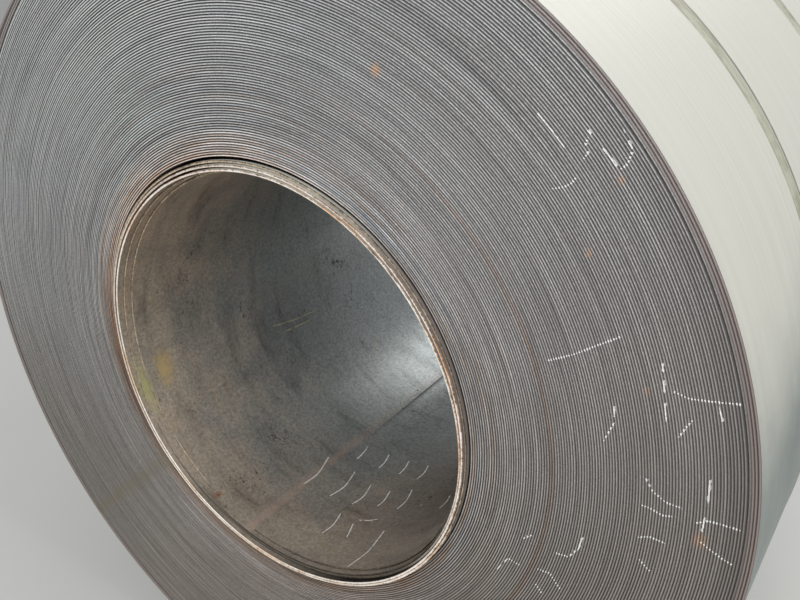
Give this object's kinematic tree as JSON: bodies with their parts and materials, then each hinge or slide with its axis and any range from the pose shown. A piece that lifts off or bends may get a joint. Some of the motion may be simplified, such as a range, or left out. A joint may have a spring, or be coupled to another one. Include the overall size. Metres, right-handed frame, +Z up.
{
  "type": "steel coil",
  "caption": "Coil of hot-rolled steel strip lying on its side, with loosened inner laps in its bore and flat steel straps round it.",
  "frame": {"origin": "on the floor, under the middle of the coil's overall length", "axes": "+Z up, +Y along the coil's axis from its front end to its back end, +X to the right seen from the front end"},
  "size_m": [1.5504, 1.285, 1.5503],
  "materials": {
    "strip_steel": "hot-rolled mill scale, dull",
    "strap_steel": "weathered strapping, matte",
    "seal_steel": "dull zinc"
  },
  "bodies": {
    "root": {"coil": "strip_steel", "strap_1": "strap_steel", "strap_2": "strap_steel", "seal_1": "seal_steel", "seal_2": "seal_steel"}
  },
  "joints": []
}
